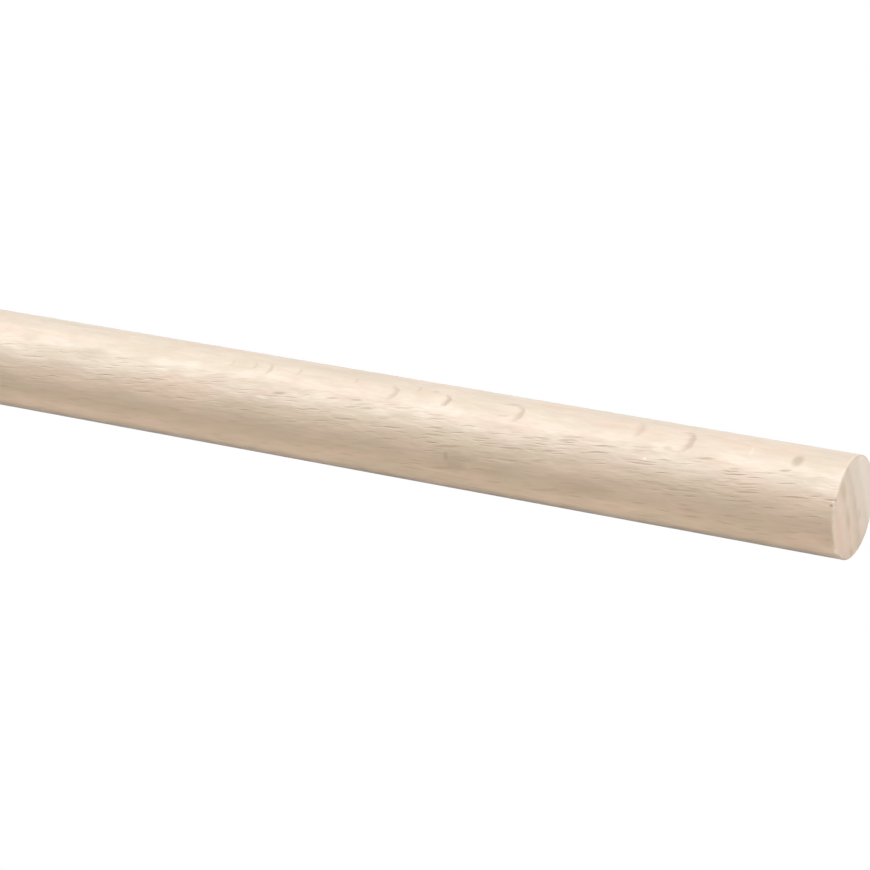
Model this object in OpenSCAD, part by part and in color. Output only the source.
// Wooden dowel rod: a plain round rod of beech, planed to its diameter and sawn off square.
// The rod lies along X. The origin is on its axis, half way along, and +X is its right-hand end.

/* [Rod] */
// Diameter of the round shank
rod_d = 20; // [6:0.5:40]
// Length from one sawn face to the other
rod_length = 1000; // [100:10:2400]

/* [Ends] */
// Radius that sandpaper has given the sawn edge all round each end
edge_r = 0.3; // [0.1:0.1:1.5]

/* [Hidden] */
// Radius of the round shank
rod_r = rod_d / 2;
// Radius of the flat that is left on each sawn face, inside its rounded edge
flat_r = rod_r - edge_r;
// Length of the shank's full-diameter wall, between the two rounded edges
wall_length = rod_length - 2 * edge_r;
// Pale beech, as the freshly sanded wood shows
beech = [0.91, 0.82, 0.71];
$fn = 96;

// Half of the rod's long section, with the axis of the rod on Y and its middle at the origin.
// Two plain rectangles carry the length, and a circle in each corner rounds the edge truly.
module half_section() {
    translate([0, -wall_length / 2])
        square([rod_r, wall_length]);
    translate([0, -rod_length / 2])
        square([flat_r, rod_length]);
    for (side = [-1, 1])
        translate([flat_r, side * wall_length / 2])
            circle(r = edge_r);
}

// The rod: its half section turned about the axis, as on a lathe, then laid along X.
module rod() {
    color(beech)
        rotate([0, 90, 0])
            rotate_extrude()
                half_section();
}

rod();
